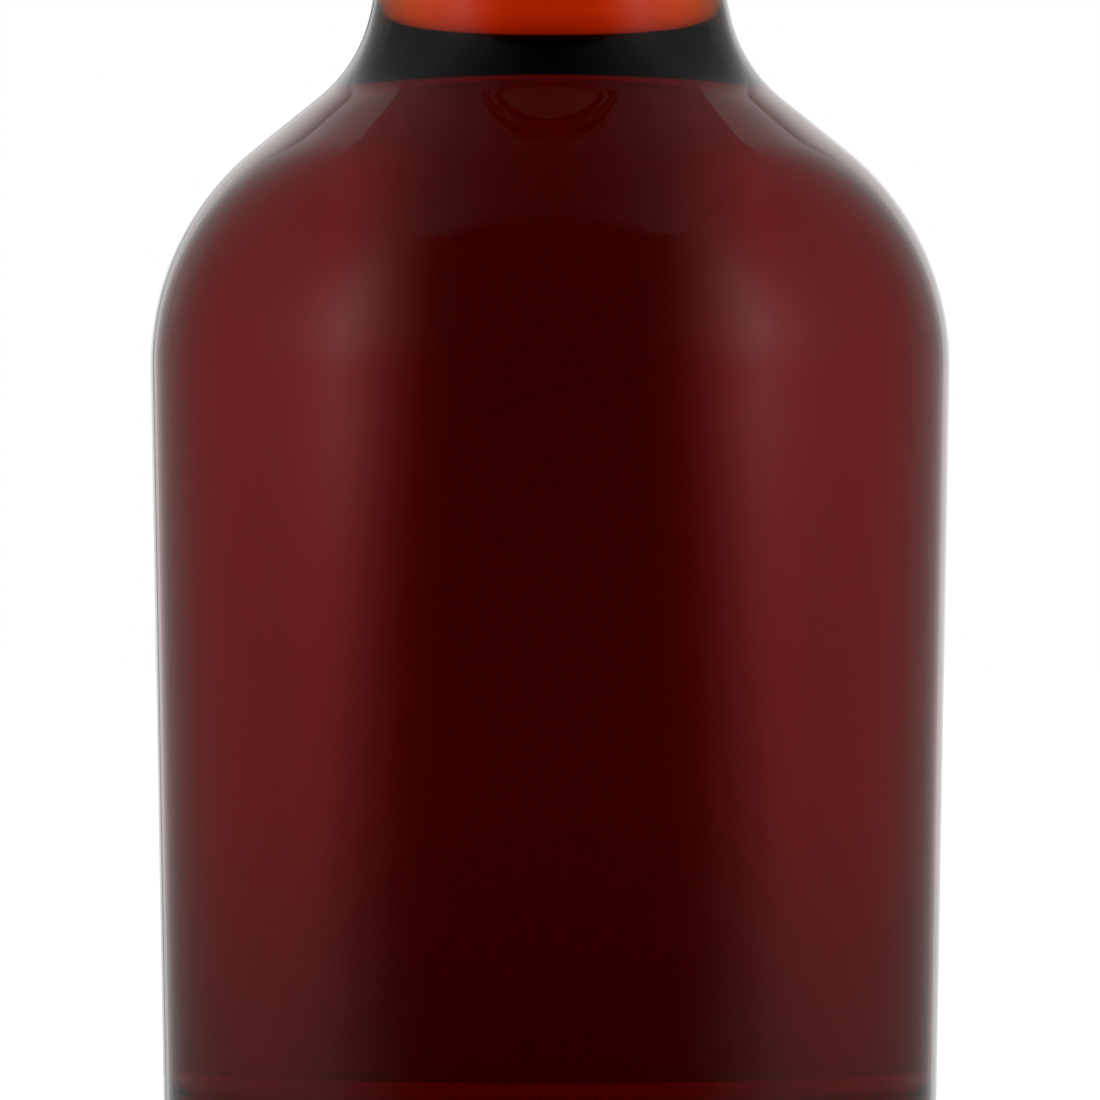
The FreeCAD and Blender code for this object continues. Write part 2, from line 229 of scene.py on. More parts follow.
def outside_section(glass):
    """From the middle of the punt, over the foot, up the side and the neck, to the
    inner edge of the lip."""
    upright = UPWARDS - glass.body_taper
    heel_top = glass.heel_radius * (1 - math.sin(glass.body_taper))
    side_run = (glass.widest_height - heel_top) / math.cos(glass.body_taper)
    foot_edge = (glass.body_diameter / 2 - side_run * math.sin(glass.body_taper)
                 - glass.heel_radius * math.cos(glass.body_taper))
    foot_inner = foot_edge - glass.foot_width
    dome = (foot_inner ** 2 / glass.punt_height + glass.punt_height) / 2
    pen = Pen(0.0, glass.punt_height)
    pen.arc(dome - glass.foot_round, -math.asin(foot_inner / dome))
    pen.arc(glass.foot_round, 0.0)
    pen.line(glass.foot_width)
    pen.arc(glass.heel_radius, upright)
    pen.line(side_run)
    pen.arc(glass.shoulder_radius, UPWARDS + glass.shoulder_slope)
    pen.line(glass.slope_length)
    # the flare hands over to the slow sweep where both reach the line of the neck
    lean = glass.neck_taper
    fillet_top = glass.ring_height - glass.ring_fillet * (1 + math.sin(lean))
    flare_centre = (pen.across + glass.flare_radius * math.cos(glass.shoulder_slope),
                    pen.up + glass.flare_radius * math.sin(glass.shoulder_slope))
    reach = ((flare_centre[0] - glass.neck_top_diameter / 2) * math.cos(lean)
             + (flare_centre[1] - fillet_top) * math.sin(lean))
    spare = glass.sweep_radius - glass.flare_radius
    handover = lean + math.acos((glass.sweep_radius - reach) / spare)
    pen.arc(glass.flare_radius, UPWARDS + handover)
    pen.arc(glass.sweep_radius, UPWARDS + lean)
    pen.line((fillet_top - pen.up) / math.cos(lean))
    pen.arc(glass.ring_fillet, 0.0)
    pen.line(glass.ring_diameter / 2 - glass.ring_low_round - pen.across)
    pen.arc(glass.ring_low_round, UPWARDS)
    pen.line(glass.bottle_height - glass.lip_round - pen.up)
    pen.arc(glass.lip_round, 2 * UPWARDS)
    pen.line(pen.across - glass.bore_diameter / 2 - glass.mouth_round)
    return pen.points


FLOOR_ROUNDS = 8


def inside_pen(glass):
    """From the middle of the inner floor up to the foot of the cone in the neck."""
    side = glass.body_diameter / 2 - glass.wall
    lean = math.tan(glass.body_taper)
    centre = glass.base_thickness + glass.punt_height - glass.floor_radius
    reach = glass.floor_radius + glass.floor_corner
    fall = 0.0
    # where the dome meets the corner depends on the side's lean, so it is closed in on
    for _ in range(FLOOR_ROUNDS):
        corner_up = centre + reach * math.cos(fall)
        corner_across = (side - (glass.widest_height - corner_up) * lean
                         - glass.floor_corner / math.cos(glass.body_taper))
        fall = math.asin(corner_across / reach)
    pen = Pen(0.0, glass.base_thickness + glass.punt_height)
    pen.arc(glass.floor_radius, -fall)
    pen.arc(glass.floor_corner, UPWARDS - glass.body_taper)
    pen.line((glass.widest_height - pen.up) / math.cos(glass.body_taper))
    pen.arc(glass.shoulder_radius - glass.wall, UPWARDS + glass.shoulder_slope)
    pen.line(glass.slope_length)
    pen.arc(glass.flare_radius + glass.wall, UPWARDS + glass.neck_cone)
    return pen


def inside_section(glass):
    """All of the inside, from the middle of the floor to the rounded mouth."""
    pen = inside_pen(glass)
    eased = glass.bore_ease * (1 - math.cos(glass.neck_cone))
    narrowing = pen.across - glass.bore_diameter / 2 - eased
    pen.line(narrowing / math.sin(glass.neck_cone))
    pen.arc(glass.bore_ease, UPWARDS)
    pen.line(glass.bottle_height - glass.mouth_round - pen.up)
    pen.arc(glass.mouth_round, 0.0)
    return pen.points


def wave(azimuth, up):
    """Slow, uneven swell between -1 and 1, as blown glass has on its inside: two swells
    round the bottle, three more that twist the other way, and one about every 90 mm."""
    two = math.sin(2 * azimuth + 0.7 + 9 * up)
    three = math.sin(3 * azimuth - 1.9 - 31 * up)
    along = math.sin(71 * up + 0.4 + math.sin(azimuth))
    return (two + three + along) / 3


# ---------------------------------------------------------------- meshes

ON_AXIS = 1e-7


def new_piece(name, mesh_data):
    piece = bpy.data.objects.new(name, mesh_data)
    bpy.context.scene.collection.objects.link(piece)
    return piece


def turned(section, azimuths, place=None):
    """Rings of points turned from a section. place moves a point before it is set down,
    and what lies on the axis is a ring of one point."""
    rings = []
    for across, up, heading in section:
        if across < ON_AXIS:
            rings.append([(0.0, 0.0, up)])
            continue
        ring = []
        for azimuth in azimuths:
            r, z = place(across, up, heading, azimuth) if place else (across, up)
            ring.append((r * math.cos(azimuth), r * math.sin(azimuth), z))
        rings.append(ring)
    return rings


def lathe(name, rings):
    """A closed skin over rings that start and end on the axis."""
    skin = bmesh.new()
    rings = [[skin.verts.new(point) for point in ring] for ring in rings]
    for low, high in zip(rings, rings[1:]):
        count = max(len(low), len(high))
        for here in range(count):
            after = (here + 1) % count
            corners = [low[here % len(low)], low[after % len(low)],
                       high[after % len(high)], high[here % len(high)]]
            skin.faces.new(list(dict.fromkeys(corners)))
    bmesh.ops.recalc_face_normals(skin, faces=skin.faces)
    mesh_data = bpy.data.meshes.new(name)
    skin.to_mesh(mesh_data)
    skin.free()
    mesh_data.shade_smooth()
    return new_piece(name, mesh_data)


def even_azimuths(count, extra=()):
    return sorted([TURN * step / count for step in range(count)] + list(extra))


def finish_piece(piece, node, material):
    piece.data.materials.append(material)
    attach(piece, "root")
    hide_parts(node)


def check_box(piece, node, room):
    """Stops if the piece doesn't fill the box of the CAD solid that it stands for."""
    low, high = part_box(node)
    points = [vertex.co for vertex in piece.data.vertices]
    for axis in range(3):
        least = min(point[axis] for point in points) - low[axis]
        most = max(point[axis] for point in points) - high[axis]
        if max(abs(least), abs(most)) > room:
            raise ValueError(f"{piece.name} leaves {node} on axis {axis} by {least}, {most}")


# ---------------------------------------------------------------- materials


def add_node(tree, kind, links=None, values=None, stops=None, blend="LINEAR", **options):
    """Adds a node, with its options, the values of its sockets and what feeds them. A
    ramp also has stops, each a place and a colour, and a way to blend them."""
    made = tree.nodes.new(kind)
    for option, choice in options.items():
        setattr(made, option, choice)
    for socket, amount in (values or {}).items():
        made.inputs[socket].default_value = amount
    for socket, source in (links or {}).items():
        tree.links.new(source, made.inputs[socket])
    if stops:
        ramp = made.color_ramp
        ramp.interpolation = blend
        while len(ramp.elements) < len(stops):
            ramp.elements.new(1.0)
        for element, (place, tint) in zip(ramp.elements, stops):
            element.position, element.color = place, opaque(tint)
    return made


def greys(*stops):
    """Stops of a ramp, from places and levels of grey."""
    return [(place, [level] * 3) for place, level in stops]


def blank(tree_owner):
    tree_owner.use_nodes = True
    tree_owner.node_tree.nodes.clear()
    return tree_owner.node_tree


def absorb(tree, tint, layer):
    """The absorption of what lets this colour through a layer of that thickness."""
    taken = [-math.log(max(part, 1e-4)) / layer for part in tint]
    most = max(taken)
    return add_node(
        tree, "ShaderNodeVolumeAbsorption",
        values={"Color": opaque(1 - part / most for part in taken), "Density": most},
    )


def flint_glass(name, wetted=False):
    """Soda-lime flint glass, blown in an iron mould and fire-polished: clear and very
    smooth, with a faint slow ripple where it cooled against the iron. Where it is wetted
    it has no shine of its own, as rum and glass bend light nearly alike."""
    material = bpy.data.materials.new(name)
    tree = blank(material)
    spot = add_node(tree, "ShaderNodeTexCoord")
    # ripples 14 mm apart and 0.03 mm deep
    ripple = add_node(
        tree, "ShaderNodeTexNoise", {"Vector": spot.outputs["Object"]},
        {"Scale": 1 / (14 * MM), "Detail": 1.0, "Roughness": 0.4},
    )
    bump = add_node(
        tree, "ShaderNodeBump", {"Height": ripple.outputs["Fac"]},
        {"Strength": 1.0, "Distance": 0.03 * MM},
    )
    shader = add_node(
        tree, "ShaderNodeBsdfPrincipled", {"Normal": bump.outputs["Normal"]},
        {"Base Color": (1, 1, 1, 1), "Roughness": 0.0, "IOR": 1.52,
         "Transmission Weight": 1.0},
    )
    if wetted:
        shader.inputs["Specular Tint"].default_value = (0.0, 0.0, 0.0, 1.0)
    add_node(tree, "ShaderNodeOutputMaterial", {"Surface": shader.outputs[0]})
    return material


RUM_LAYER = 10 * MM  # the layer whose colour is set


def dark_rum(colours):
    """Rum aged in oak and filtered bright: thin layers are amber and deep ones a
    red that is nearly black."""
    material = bpy.data.materials.new("dark_rum_filtered")
    tree = blank(material)
    shader = add_node(
        tree, "ShaderNodeBsdfPrincipled", None,
        {"Base Color": (1, 1, 1, 1), "Roughness": 0.0, "IOR": 1.36,
         "Transmission Weight": 1.0, "Specular Tint": (0.0, 0.0, 0.0, 1.0)},
    )
    inside = absorb(tree, colours.rum, RUM_LAYER)
    add_node(tree, "ShaderNodeOutputMaterial",
             {"Surface": shader.outputs[0], "Volume": inside.outputs[0]})
    return material


def natural_cork(colours):
    """Cork punched from bark and sanded: matt tan clumps of cells with dark pores."""
    material = bpy.data.materials.new("natural_cork_sanded")
    tree = blank(material)
    spot = add_node(tree, "ShaderNodeTexCoord")
    # cells in clumps of 1.6 mm, as cork's own 0.04 mm don't show, and pores 2.4 mm apart
    cells = add_node(tree, "ShaderNodeTexNoise", {"Vector": spot.outputs["Object"]},
                     {"Scale": 1 / (1.6 * MM), "Detail": 5.0, "Roughness": 0.65})
    pores = add_node(tree, "ShaderNodeTexVoronoi", {"Vector": spot.outputs["Object"]},
                     {"Scale": 1 / (2.4 * MM)}, feature="F1")
    tan = add_node(tree, "ShaderNodeValToRGB", {"Fac": cells.outputs["Fac"]},
                   stops=((0.33, colours.cork_dark), (0.52, colours.cork_light)))
    dark = add_node(tree, "ShaderNodeMapRange", {"Value": pores.outputs["Distance"]},
                    {"From Min": 0.1, "From Max": 0.24, "To Min": 0.45, "To Max": 1.0})
    mixed = add_node(tree, "ShaderNodeMix", {7: tan.outputs["Color"], 0: dark.outputs[0]},
                     {6: opaque(colours.cork_dark)}, data_type="RGBA")
    bump = add_node(tree, "ShaderNodeBump", {"Height": cells.outputs["Fac"]},
                    {"Strength": 0.6, "Distance": 0.15 * MM})
    shader = add_node(
        tree, "ShaderNodeBsdfPrincipled",
        {"Base Color": mixed.outputs[2], "Normal": bump.outputs["Normal"]},
        {"Roughness": 0.85, "IOR": 1.45},
    )
    add_node(tree, "ShaderNodeOutputMaterial", {"Surface": shader.outputs[0]})
    return material


def stained_beech(colours):
    """Beech turned on a lathe, stained dark and sprayed with satin lacquer: fine
    short pores run up the side, and the lacquer gives it a soft shine."""
    material = bpy.data.materials.new("stained_beech_lacquered")
    tree = blank(material)
    spot = add_node(tree, "ShaderNodeTexCoord")
    # pores 0.35 mm wide and 5 mm long, coarser than beech's own 0.1 mm so that they show
    stretched = add_node(tree, "ShaderNodeMapping", {"Vector": spot.outputs["Object"]},
                         {"Scale": (1 / (0.35 * MM), 1 / (0.35 * MM), 1 / (5 * MM))})
    pores = add_node(tree, "ShaderNodeTexNoise", {"Vector": stretched.outputs[0]},
                     {"Scale": 1.0, "Detail": 3.0, "Roughness": 0.6})
    # yearly rings, turned from a board beside the heart of the tree
    years = add_node(tree, "ShaderNodeMapping", {"Vector": spot.outputs["Object"]},
                     {"Location": (0.03, 0.012, 0.0), "Scale": (1.0, 1.0, 0.05)})
    rings = add_node(tree, "ShaderNodeTexWave", {"Vector": years.outputs[0]},
                     {"Scale": 1 / (22 * MM), "Distortion": 2.0, "Detail": 2.0,
                      "Detail Scale": 2.0}, wave_type="RINGS", rings_direction="Z")
    grain = add_node(tree, "ShaderNodeMapRange", {"Value": rings.outputs["Fac"]},
                     {"To Min": -0.1, "To Max": 0.12})
    total = add_node(tree, "ShaderNodeMath",
                     {0: pores.outputs["Fac"], 1: grain.outputs[0]}, operation="ADD")
    stain = add_node(tree, "ShaderNodeValToRGB", {"Fac": total.outputs[0]},
                     stops=((0.36, colours.beech_dark), (0.62, colours.beech_light)))
    rough = add_node(tree, "ShaderNodeMapRange", {"Value": pores.outputs["Fac"]},
                     {"To Min": 0.55, "To Max": 0.38})
    bump = add_node(tree, "ShaderNodeBump", {"Height": pores.outputs["Fac"]},
                    {"Strength": 0.35, "Distance": 0.12 * MM})
    shader = add_node(
        tree, "ShaderNodeBsdfPrincipled",
        {"Base Color": stain.outputs["Color"], "Roughness": rough.outputs[0],
         "Normal": bump.outputs["Normal"]},
        {"IOR": 1.5, "Coat Weight": 0.35, "Coat Roughness": 0.25},
    )
    add_node(tree, "ShaderNodeOutputMaterial", {"Surface": shader.outputs[0]})
    return material


# ---------------------------------------------------------------- operators


class BOTTLE_OT_glass(bpy.types.Operator):
    """Turns the glass, with its knurled foot, its mould seams and its uneven inside"""

    bl_idname = "rum_bottle.glass"
    bl_label = "Make the glass"
    bl_options = {"REGISTER", "UNDO"}

    COLUMNS = 360  # round the bottle
    SEAM = math.radians(8.5)  # from the right and the left side to the mould seams
    EVEN_NECK = 40 * MM  # below the lip, where a plug forms the inside
    WAVE_FADE = 20 * MM
    ROOM = 0.1 * MM  # how far the piece may be from its CAD box

    def execute(self, context):
        glass, fill, _, _ = settings()
        seams = (self.SEAM, self.SEAM + math.pi)
        azimuths = even_azimuths(self.COLUMNS, seams)
        foot_reach = glass.body_diameter / 2 - glass.heel_radius
        foot_reach -= glass.foot_width + glass.foot_round
        spacing = TURN / glass.knurl_count
        seam_top = glass.ring_height - glass.ring_fillet
        neck_foot = glass.bottle_height - self.EVEN_NECK

        def knurled(across, up, heading, azimuth):
            if across >= foot_reach and up < glass.knurl_depth:
                off = across * (azimuth - spacing * round(azimuth / spacing))
                if abs(off) < glass.knurl_radius:
                    dip = glass.knurl_depth - glass.knurl_radius
                    up = max(up, dip + math.sqrt(glass.knurl_radius ** 2 - off ** 2))
            if azimuth in seams and glass.heel_radius < up < seam_top:
                across += glass.seam_height * math.sin(heading)
                up -= glass.seam_height * math.cos(heading)
            return across, up

        def uneven(across, up, heading, azimuth):
            fade = min(1.0, max(0.0, (neck_foot - up) / self.WAVE_FADE))
            swell = glass.wall_wave * fade * wave(azimuth, up)
            return across + swell * math.sin(heading), up - swell * math.cos(heading)

        outer = turned(outside_section(glass), azimuths, knurled)
        # the inside runs down from the lip, where the outside has already been
        downwards = [(r, z, h + math.pi) for r, z, h in reversed(inside_section(glass))][1:]
        inner = turned(downwards, azimuths, uneven)
        piece = lathe("bottle_glass", outer + inner)
        check_box(piece, "bottle", self.ROOM)
        finish_piece(piece, "bottle", flint_glass("flint_glass_fire_polished"))
        piece.data.materials.append(flint_glass("flint_glass_wetted", wetted=True))
        first_inside = sum(len(ring) for ring in outer)
        for face in piece.data.polygons:
            if min(face.vertices) >= first_inside and face.center.z < fill.fill_height:
                face.material_index = 1
        return {"FINISHED"}


class BOTTLE_OT_rum(bpy.types.Operator):
    """Fills the bottle up to the neck, with a curved edge where the rum wets the glass"""

    bl_idname = "rum_bottle.rum"
    bl_label = "Pour the rum"
    bl_options = {"REGISTER", "UNDO"}

    COLUMNS = 240
    MENISCUS_STEPS = 16
    MENISCUS_REACH = 6  # in meniscus widths, after which the rum lies level
    CROWDING = 1.6  # how much closer the steps stand near the glass
    CREASE = math.radians(60)
    ROOM = 0.3 * MM

    def execute(self, context):
        glass, fill, colours, _ = settings()
        pen = inside_pen(glass)
        pen.line((fill.fill_height - pen.up) / math.cos(glass.neck_cone))
        overlap = fill.wall_overlap
        section = [(r + overlap * math.sin(h), z - overlap * math.cos(h), h)
                   for r, z, h in pen.points]
        section[0] = (0.0, section[0][1], 0.0)
        section[-1] = (pen.across + overlap, fill.fill_height, UPWARDS)
        reach = self.MENISCUS_REACH * fill.meniscus_width
        for step in range(1, self.MENISCUS_STEPS + 1):
            inward = reach * (step / self.MENISCUS_STEPS) ** self.CROWDING
            sink = fill.meniscus_rise * (1 - math.exp(-inward / fill.meniscus_width))
            section.append((pen.across - inward, fill.fill_height - sink, math.pi))
        section.append((0.0, section[-1][1], math.pi))
        piece = lathe("rum_fill", turned(section, even_azimuths(self.COLUMNS)))
        piece.data.set_sharp_from_angle(angle=self.CREASE)
        check_box(piece, "rum", self.ROOM)
        finish_piece(piece, "rum", dark_rum(colours))
        return {"FINISHED"}


class BOTTLE_OT_stopper(bpy.types.Operator):
    """Presses the pitted cork into the neck and finishes the turned wooden head"""

    bl_idname = "rum_bottle.stopper"
    bl_label = "Make the stopper"
    bl_options = {"REGISTER", "UNDO"}

    COLUMNS = 240
    SIDE_STEPS = 70
    END_STEPS = 12
    GRIP = 0.08 * MM  # how far the squeezed cork reaches into the glass
    SEED = 70
    PITS = 48
    PIT_RADII = (0.25, 0.5)  # least and most, over the pit width
    PIT_DEPTHS = (0.3, 1.0)  # least and most, over the pit depth
    PIT_LENGTH = 1.5  # how much taller than wide a pit is
    CREASE = math.radians(35)
    ROOM = 0.2 * MM

    def execute(self, context):
        glass, fill, colours, _ = settings()
        low = glass.bottle_height - fill.cork_length
        high = glass.bottle_height + fill.cork_socket
        radius = glass.bore_diameter / 2
        end_radius = radius - fill.cork_chamfer
        random.seed(self.SEED)
        pits = [(random.uniform(0, TURN), random.uniform(low, high),
                 random.uniform(*self.PIT_RADII) * fill.pit_width,
                 random.uniform(*self.PIT_DEPTHS) * fill.pit_depth)
                for _ in range(self.PITS)]

        def pitted(across, up, heading, azimuth):
            sunk = 0.0
            if across > end_radius:
                for pit_azimuth, pit_up, size, depth in pits:
                    turn = (azimuth - pit_azimuth + math.pi) % TURN - math.pi
                    off = math.hypot(turn * radius, (up - pit_up) / self.PIT_LENGTH) / size
                    if off < 1:
                        sunk = max(sunk, depth * (1 - off * off))
            return across - sunk, up

        side_low = low + fill.cork_chamfer
        section = [(0.0, low, 0.0)]
        section += [(end_radius * step / self.END_STEPS, low, 0.0)
                    for step in range(1, self.END_STEPS + 1)]
        section += [(radius + self.GRIP, side_low + (high - side_low) * step / self.SIDE_STEPS,
                     UPWARDS) for step in range(self.SIDE_STEPS + 1)]
        section.append((0.0, high, math.pi))
        cork = lathe("cork_shank", turned(section, even_azimuths(self.COLUMNS), pitted))
        cork.data.set_sharp_from_angle(angle=self.CREASE)
        check_box(cork, "stopper_cork", self.ROOM)
        finish_piece(cork, "stopper_cork", natural_cork(colours))
        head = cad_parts["stopper_head"]
        head.data.materials.clear()
        head.data.materials.append(stained_beech(colours))
        return {"FINISHED"}


class BOTTLE_OT_stage(bpy.types.Operator):
    """Lays the floor, hangs the panels, the cards and the lamp, and sets up the camera"""

    bl_idname = "rum_bottle.stage"
    bl_label = "Set the stage"
    bl_options = {"REGISTER", "UNDO"}

    PANEL_ARC = (math.radians(26), math.radians(154))  # 0 is straight in front
    PANEL_COLUMNS = 48
    FLOOR_REACH = 6.0
    FLOOR_GAP = 0.02 * MM  # keeps the floor clear of the foot ring
    FLOOR_LIFT = 0.42  # light added where the lens sees the floor
    # painted shade: the floor behind the bottle, seen through the glass, is set to a flat grey
    # in place of the bottle's shadow
    FLOOR_THROUGH_SHADE = 0.35  # grey of the floor seen through the glass and the rum

    # the dark card: places across it are shares of its reach
    STRIPE_EDGE = (10 / 240, 33 / 240)  # from dark to white, at STRIPE_TOP
    STRIPE_TOP = 110 * MM  # where the stripe is narrowest and the white brightest
    STRIPE_NARROWING = 0.5  # the stripe's width there over its width at the table
    STRIPE_LIGHT = 0.28
    WHITE_AT_TABLE = 0.64
    FOOT_FADE = (-10 * MM, 45 * MM)  # heights between which all of it fades in
    FOOT_LIGHT = 0.45  # at the lower end of that fade

    # the white card
    NECK_FADE = (103 * MM, 135 * MM)  # heights between which it fades in
    NECK_LIGHT = 0.42  # at the lower end of that fade

    # the room: pairs are parts of a direction, between which the light fades in
    MATT_LIGHT = 0.8
    WINGS = (0.78, 0.95)
    WING_LIGHT = 0.7  # of the white beside the bottle and beyond, through the glass
    BACKDROP = (0.74, 0.92)
    CEILING = (0.3, 0.6)
    CEILING_FRONT = (-0.55, -0.4)
    CEILING_MIDDLE = 0.02
    CEILING_REAR = 0.45  # its square is added at the rear
    CEILING_SIDE = 0.7  # its square is added at the sides
    REFRACTED_SIDE = 0.5  # how far what passes through the glass again sees the sides
    LAMP_PLACE = (-0.35, -0.45, 1.1)
    LAMP_AIM = (0.0, 0.0, 0.1)

    SENSOR_WIDTH = 36.0
    CLIP = (0.05, 50.0)

    def execute(self, context):
        _, _, colours, stage = settings()
        self.lay_floor(colours)
        glow = self.panel_cloth()
        for name, side in (("panel_left", -1), ("panel_right", 1)):
            self.hang_panel(name, side, stage, glow)
        self.stand_card("dark_card", stage.dark_distance, stage.dark_reach,
                        -stage.dark_drop, stage.dark_top, self.dark_card)
        self.stand_card("white_card", stage.white_distance, stage.white_reach,
                        stage.white_foot, stage.white_top, self.white_card)
        self.light_room(context.scene)
        self.hang_lamp(context.scene, stage)
        self.set_camera(context.scene, stage)
        return {"FINISHED"}

    def lay_floor(self, colours):
        """Pale and matt. Seen through the glass it is a flat darker grey, a painted shade that
        stands in for the bottle's shadow on it, and what the glass mirrors passes it by,
        because the panels and the room light that."""
        half = self.FLOOR_REACH
        data = bpy.data.meshes.new("floor")
        data.from_pydata(
            [(-half, -half, 0), (half, -half, 0), (half, half, 0), (-half, half, 0)],
            [], [(0, 1, 2, 3)])
        floor = new_piece("floor", data)
        floor.location.z = -self.FLOOR_GAP
        floor.visible_glossy = False
        material = bpy.data.materials.new("matt_white_table")
        tree = blank(material)
        rays = add_node(tree, "ShaderNodeLightPath")
        lift = add_node(tree, "ShaderNodeMath", {0: rays.outputs["Is Camera Ray"]},
                        {1: self.FLOOR_LIFT}, operation="MULTIPLY")
        # painted shade: rays through the glass see the floor in a flat grey that stands in for
        # the bottle's shadow, other rays see its own pale colour
        floor_or_painted_shade = add_node(tree, "ShaderNodeMix", {0: rays.outputs["Is Transmission Ray"]},
                        {6: opaque(colours.floor), 7: opaque([self.FLOOR_THROUGH_SHADE] * 3)},
                        data_type="RGBA")
        matt = add_node(tree, "ShaderNodeBsdfDiffuse", {"Color": floor_or_painted_shade.outputs[2]})
        white = add_node(tree, "ShaderNodeEmission", {"Strength": lift.outputs[0]})
        both = add_node(tree, "ShaderNodeAddShader",
                        {0: matt.outputs[0], 1: white.outputs[0]})
        mirrored = add_node(
            tree, "ShaderNodeMath",
            {0: rays.outputs["Glossy Depth"], 1: rays.outputs["Is Glossy Ray"]},
            operation="MINIMUM")
        passed = add_node(tree, "ShaderNodeBsdfTransparent")
        laid = add_node(tree, "ShaderNodeMixShader",
                        {0: mirrored.outputs[0], 1: both.outputs[0], 2: passed.outputs[0]})
        add_node(tree, "ShaderNodeOutputMaterial", {"Surface": laid.outputs[0]})
        data.materials.append(material)

    def hang_panel(self, name, side, stage, glow):
        """A tall soft panel that curves round one side of the bottle. Only shiny surfaces
        see it."""
        start, end = self.PANEL_ARC
        skin = bmesh.new()
        layer = skin.loops.layers.uv.new("panel")
        pairs = []
        for step in range(self.PANEL_COLUMNS + 1):
            turn = start + (end - start) * step / self.PANEL_COLUMNS
            across = side * stage.panel_distance * math.sin(turn)
            back = -stage.panel_distance * math.cos(turn)
            pairs.append([skin.verts.new((across, back, z))
                          for z in (-stage.panel_drop, stage.panel_top)])
        for step, (here, after) in enumerate(zip(pairs, pairs[1:])):
            face = skin.faces.new((here[0], after[0], after[1], here[1]))
            for loop, (u, v) in zip(face.loops, ((0, 0), (1, 0), (1, 1), (0, 1))):
                loop[layer].uv = ((step + u) / self.PANEL_COLUMNS, v)
        data = bpy.data.meshes.new("panel")
        skin.to_mesh(data)
        skin.free()
        panel = new_piece(name, data)
        panel.visible_camera = panel.visible_diffuse = False
        panel.visible_transmission = panel.visible_shadow = False
        panel.data.materials.append(glow)

    def panel_cloth(self):
        """White cloth lit from behind: a lamp a quarter of the way round glows through it
        above the table, and it is bright again at its far edge. Places across it run from
        the front edge, and places up it from the foot."""
        material = bpy.data.materials.new("soft_panel_cloth")
        tree = blank(material)
        spot = add_node(tree, "ShaderNodeTexCoord")
        parts = add_node(tree, "ShaderNodeSeparateXYZ", {0: spot.outputs["UV"]})
        cloth = add_node(
            tree, "ShaderNodeValToRGB", {0: parts.outputs["X"]}, blend="B_SPLINE",
            stops=greys((0.0, 0.0), (0.1, 0.008), (0.16, 0.04), (0.27, 0.14), (0.35, 0.24),
                        (0.5, 0.19), (0.62, 0.155), (0.75, 0.16), (0.87, 0.22), (0.95, 0.4),
                        (1.0, 0.8)))
        lamp = add_node(
            tree, "ShaderNodeValToRGB", {0: parts.outputs["X"]}, blend="B_SPLINE",
            stops=greys((0.0, 0.0), (0.07, 0.05), (0.12, 0.13), (0.19, 0.34), (0.265, 1.0),
                        (0.33, 0.4), (0.42, 0.16), (0.55, 0.03), (0.7, 0.0)))
        height = add_node(
            tree, "ShaderNodeValToRGB", {0: parts.outputs["Y"]}, blend="B_SPLINE",
            stops=greys((0.31, 0.0), (0.345, 0.1), (0.37, 0.4), (0.46, 1.0), (0.6, 0.75),
                        (0.78, 0.25), (1.0, 0.0)))
        level = add_node(tree, "ShaderNodeMath",
                         {0: lamp.outputs[0], 1: height.outputs[0], 2: cloth.outputs[0]},
                         operation="MULTIPLY_ADD")
        glow = add_node(tree, "ShaderNodeEmission", {"Strength": level.outputs[0]})
        add_node(tree, "ShaderNodeOutputMaterial", {"Surface": glow.outputs[0]})
        return material

    def stand_card(self, name, distance, half, low, top, light):
        """A card behind the bottle, which shows only through the glass and the rum. light
        builds its strength from how far out a point is, as a share of half, and how high."""
        data = bpy.data.meshes.new(name)
        data.from_pydata([(-half, 0, low), (half, 0, low), (half, 0, top), (-half, 0, top)],
                         [], [(0, 1, 2, 3)])
        card = new_piece(name, data)
        card.location.y = distance
        card.visible_camera = card.visible_diffuse = False
        card.visible_glossy = card.visible_shadow = False
        material = bpy.data.materials.new(name)
        tree = blank(material)
        spot = add_node(tree, "ShaderNodeTexCoord")
        parts = add_node(tree, "ShaderNodeSeparateXYZ", {0: spot.outputs["Object"]})
        out = add_node(tree, "ShaderNodeMath", {0: parts.outputs["X"]}, operation="ABSOLUTE")
        share = add_node(tree, "ShaderNodeMath", {0: out.outputs[0]}, {1: 1 / half},
                         operation="MULTIPLY")
        strength = light(tree, share.outputs[0], parts.outputs["Z"])
        glow = add_node(tree, "ShaderNodeEmission", {"Strength": strength})
        add_node(tree, "ShaderNodeOutputMaterial", {"Surface": glow.outputs[0]})
        data.materials.append(material)

